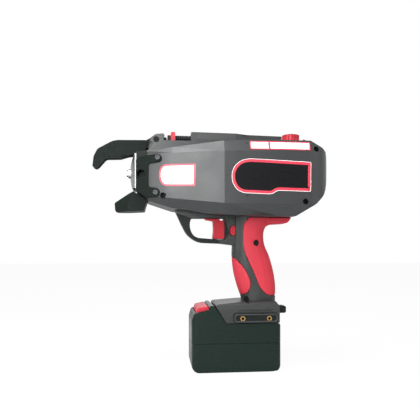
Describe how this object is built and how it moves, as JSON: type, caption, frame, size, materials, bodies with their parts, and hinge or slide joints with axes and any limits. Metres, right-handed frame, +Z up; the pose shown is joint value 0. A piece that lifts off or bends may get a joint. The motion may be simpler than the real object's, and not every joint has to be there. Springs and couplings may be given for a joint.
{
  "type": "rebar tying tool",
  "caption": "Pistol-grip battery tool that ties crossing bars: hooked upper guide, lower guide, twisting hook, wire reel bay and a slide-on pack.",
  "frame": {"origin": "centre of the battery pack's flat bottom face", "axes": "+X to the tool's rear, +Y to its right side, +Z up; the jaws point to -X"},
  "size_m": [0.2858, 0.089, 0.2906],
  "materials": {
    "housing_plastic": "fine moulded grain",
    "grip_rubber": "soft moulded grip",
    "red_plastic": "satin moulded",
    "black_metal": "satin black coating",
    "black_plastic": "satin moulded",
    "pack_plastic": "fine moulded grain",
    "bright_steel": "polished",
    "steel": "machined",
    "dark_steel": "black oxide",
    "spring_steel": "oiled spring wire",
    "brass": "turned",
    "copper": "wound coil",
    "circuit_board": "coated board",
    "cable_red": "insulated wire"
  },
  "bodies": {
    "tool": {"left_housing": "housing_plastic", "right_housing": "housing_plastic", "housing_screws": "dark_steel", "rear_grip": "grip_rubber", "front_grip": "grip_rubber", "nose_frame": "black_metal", "nose_plate": "bright_steel", "nose_brackets": "black_metal", "nose_screws": "dark_steel", "lower_guide": "black_metal", "guide_pin": "dark_steel", "latch_rod": "steel", "latch_spring": "spring_steel", "top_panels": "black_plastic", "front_bush": "brass", "gearbox_case": "steel", "twist_motor": "steel", "feed_bracket": "steel", "feed_motor": "steel", "wire_guide": "brass", "tie_wire": "steel", "fixed_cutter": "steel", "bay_wall": "black_plastic", "reel_spindle": "steel", "solenoid": "copper", "cover_hinge_pin": "dark_steel", "main_board": "circuit_board", "board_components": "black_plastic", "dial_pot": "black_plastic", "trigger_switch": "black_plastic", "terminal_block": "black_plastic", "power_cables": "cable_red", "hook_plates": "housing_plastic", "hook_inserts": "brass", "strap_lug": "black_plastic"},
    "upper_guide": {"upper_guide": "black_metal"},
    "guide_latch": {"guide_latch": "red_plastic"},
    "trigger": {"trigger": "red_plastic"},
    "lock_button": {"lock_button": "red_plastic"},
    "dial": {"dial": "red_plastic"},
    "reel_cover": {"reel_cover": "black_plastic"},
    "cover_latch": {"cover_latch": "red_plastic"},
    "reel": {"reel_spool": "black_plastic", "reel_wire": "steel"},
    "brake_lever": {"brake_lever": "steel"},
    "cutter_blade": {"cutter_blade": "steel"},
    "twist_shaft": {"twist_shaft": "steel"},
    "sun_gear": {"sun_gear": "brass"},
    "planet_gear_1": {"planet_gear_1": "steel"},
    "planet_gear_2": {"planet_gear_2": "steel"},
    "planet_gear_3": {"planet_gear_3": "steel"},
    "feed_idler": {"feed_idler": "steel"},
    "feed_pinion": {"feed_pinion": "brass"},
    "feed_roller": {"feed_roller": "steel"},
    "press_roller": {"press_roller": "steel"},
    "battery": {"pack_lower_case": "pack_plastic", "pack_upper_case": "pack_plastic", "pack_cells": "steel"},
    "pack_latch": {"pack_latch": "red_plastic"}
  },
  "joints": [
    {"name": "upper_guide_hinge", "type": "hinge", "parent": "tool", "child": "upper_guide", "pos_m": [-0.0955, 0, 0.2782], "axis": [0, 1, 0], "range_deg": [0, 45]},
    {"name": "guide_latch_slide", "type": "slide", "parent": "tool", "child": "guide_latch", "axis": [1, 0, 0], "range_m": [0, 0.006], "stiffness_N_per_m": 400, "deforming": ["latch_spring"]},
    {"name": "trigger_slide", "type": "slide", "parent": "tool", "child": "trigger", "axis": [1, 0, 0], "range_m": [0, 0.005], "stiffness_N_per_m": 800},
    {"name": "lock_button_slide", "type": "slide", "parent": "tool", "child": "lock_button", "axis": [0, 1, 0], "range_m": [0, 0.003]},
    {"name": "dial_turn", "type": "hinge", "parent": "tool", "child": "dial", "pos_m": [0.074, 0, 0.286], "axis": [0, 0, 1], "range_deg": [-135, 135]},
    {"name": "reel_cover_hinge", "type": "hinge", "parent": "tool", "child": "reel_cover", "pos_m": [0.0197, 0.0447, 0.234], "axis": [0, 0, 1], "range_deg": [0, 100]},
    {"name": "cover_latch_slide", "type": "slide", "parent": "tool", "child": "cover_latch", "axis": [1, 0, 0], "range_m": [0, 0.003], "stiffness_N_per_m": 400},
    {"name": "reel_spin", "type": "hinge", "parent": "tool", "child": "reel", "pos_m": [0.06, 0, 0.234], "axis": [0, 1, 0], "continuous": true},
    {"name": "brake_lever_pivot", "type": "hinge", "parent": "tool", "child": "brake_lever", "pos_m": [0.02, 0, 0.206], "axis": [0, 1, 0], "range_deg": [0, 6], "stiffness_Nm_per_rad": 0.2},
    {"name": "cutter_slide", "type": "slide", "parent": "tool", "child": "cutter_blade", "axis": [0, 1, 0], "range_m": [0, 0.004], "stiffness_N_per_m": 400},
    {"name": "twist_spin", "type": "hinge", "parent": "tool", "child": "twist_shaft", "pos_m": [0, 0, 0.239], "axis": [1, 0, 0], "continuous": true},
    {"name": "sun_spin", "type": "hinge", "parent": "tool", "child": "sun_gear", "pos_m": [0, 0, 0.239], "axis": [1, 0, 0], "continuous": true},
    {"name": "planet_1_spin", "type": "hinge", "parent": "twist_shaft", "child": "planet_gear_1", "pos_m": [0, 0.0096, 0.239], "axis": [1, 0, 0], "continuous": true},
    {"name": "planet_2_spin", "type": "hinge", "parent": "twist_shaft", "child": "planet_gear_2", "pos_m": [0, -0.0048, 0.24731], "axis": [1, 0, 0], "continuous": true},
    {"name": "planet_3_spin", "type": "hinge", "parent": "twist_shaft", "child": "planet_gear_3", "pos_m": [0, -0.0048, 0.23069], "axis": [1, 0, 0], "continuous": true},
    {"name": "feed_idler_spin", "type": "hinge", "parent": "tool", "child": "feed_idler", "pos_m": [-0.06697, 0, 0.22697], "axis": [0, 1, 0], "continuous": true},
    {"name": "feed_pinion_spin", "type": "hinge", "parent": "tool", "child": "feed_pinion", "pos_m": [-0.05425, 0, 0.20662], "axis": [0, 1, 0], "continuous": true},
    {"name": "feed_roller_spin", "type": "hinge", "parent": "tool", "child": "feed_roller", "pos_m": [-0.075, 0, 0.2517], "axis": [0, 1, 0], "continuous": true},
    {"name": "press_roller_spin", "type": "hinge", "parent": "tool", "child": "press_roller", "pos_m": [-0.075, 0, 0.2633], "axis": [0, 1, 0], "continuous": true},
    {"name": "pack_slide", "type": "slide", "parent": "tool", "child": "battery", "axis": [-1, 0, 0], "range_m": [0, 0.09]},
    {"name": "pack_latch_press", "type": "slide", "parent": "battery", "child": "pack_latch", "axis": [0, 0, -1], "range_m": [0, 0.003], "stiffness_N_per_m": 800}
  ],
  "couplings": [
    {"joint": "sun_spin", "follows": "twist_spin", "ratio": 4},
    {"joint": "planet_1_spin", "follows": "twist_spin", "ratio": -3},
    {"joint": "planet_2_spin", "follows": "twist_spin", "ratio": -3},
    {"joint": "planet_3_spin", "follows": "twist_spin", "ratio": -3},
    {"joint": "feed_pinion_spin", "follows": "feed_idler_spin", "ratio": -3},
    {"joint": "feed_roller_spin", "follows": "feed_idler_spin", "ratio": -2.25},
    {"joint": "press_roller_spin", "follows": "feed_idler_spin", "ratio": 2.25}
  ]
}
